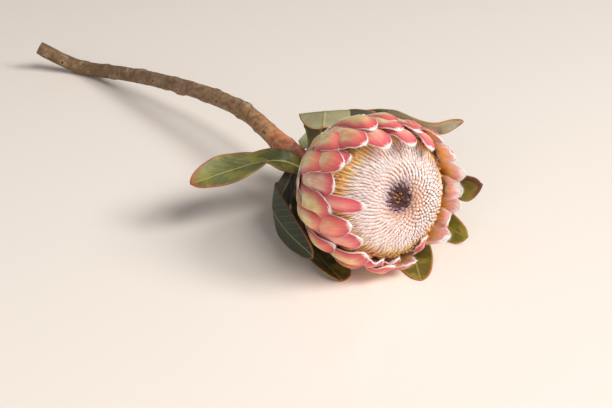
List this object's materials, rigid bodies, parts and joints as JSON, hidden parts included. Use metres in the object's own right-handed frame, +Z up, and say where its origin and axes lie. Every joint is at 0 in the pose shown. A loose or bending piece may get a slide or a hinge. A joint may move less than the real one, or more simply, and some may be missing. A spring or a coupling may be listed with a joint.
{
  "type": "protea flower",
  "caption": "Cut pink protea lying on its side: a goblet of overlapping bracts round a dome of florets, leathery leaves behind it and a curved woody stem.",
  "frame": {"origin": "on the surface that the flower lies on, under the middle of its bounding box", "axes": "+Z up; the flower head faces -Y and looks up a little; the stem runs back along +Y and its cut end bends towards -X"},
  "size_m": [0.1786, 0.4846, 0.1031],
  "materials": {
    "stem_bark": "matte",
    "leaf_green": "satin",
    "receptacle_green": "matte",
    "floret_pink": "matte",
    "inner_pink": "satin",
    "outer_peach": "satin",
    "scale_brown": "satin"
  },
  "bodies": {
    "root": {"stem": "stem_bark", "receptacle": "receptacle_green", "floret_mass": "floret_pink", "left_leaf": "leaf_green", "upper_left_leaf": "leaf_green", "upper_leaf": "leaf_green", "upper_right_leaf": "leaf_green", "right_leaf": "leaf_green", "lower_right_leaf": "leaf_green", "front_right_leaf": "leaf_green", "lower_left_leaf": "leaf_green", "front_left_leaf": "leaf_green", "lower_scale_01": "scale_brown", "lower_scale_02": "scale_brown", "lower_scale_03": "scale_brown", "lower_scale_04": "scale_brown", "lower_scale_05": "scale_brown", "lower_scale_06": "scale_brown", "lower_scale_07": "scale_brown", "lower_scale_08": "scale_brown", "lower_scale_09": "scale_brown", "middle_bract_01": "outer_peach", "middle_bract_02": "outer_peach", "middle_bract_03": "outer_peach", "middle_bract_04": "outer_peach", "middle_bract_05": "outer_peach", "middle_bract_06": "outer_peach", "middle_bract_07": "outer_peach", "middle_bract_08": "outer_peach", "middle_bract_09": "outer_peach", "middle_bract_10": "outer_peach", "middle_bract_11": "outer_peach", "middle_bract_12": "outer_peach", "middle_bract_13": "outer_peach", "outer_bract_01": "outer_peach", "outer_bract_02": "outer_peach", "outer_bract_03": "outer_peach", "outer_bract_04": "outer_peach", "outer_bract_05": "outer_peach", "outer_bract_06": "outer_peach", "outer_bract_07": "outer_peach", "outer_bract_08": "outer_peach", "outer_bract_09": "outer_peach", "outer_bract_10": "outer_peach", "outer_bract_11": "outer_peach", "outer_bract_12": "outer_peach", "outer_bract_13": "outer_peach", "inner_bract_01": "inner_pink", "inner_bract_02": "inner_pink", "inner_bract_03": "inner_pink", "inner_bract_04": "inner_pink", "inner_bract_05": "inner_pink", "inner_bract_06": "inner_pink", "inner_bract_07": "inner_pink", "inner_bract_08": "inner_pink", "inner_bract_09": "inner_pink", "inner_bract_10": "inner_pink", "inner_bract_11": "inner_pink", "inner_bract_12": "inner_pink", "inner_bract_13": "inner_pink"}
  },
  "joints": []
}
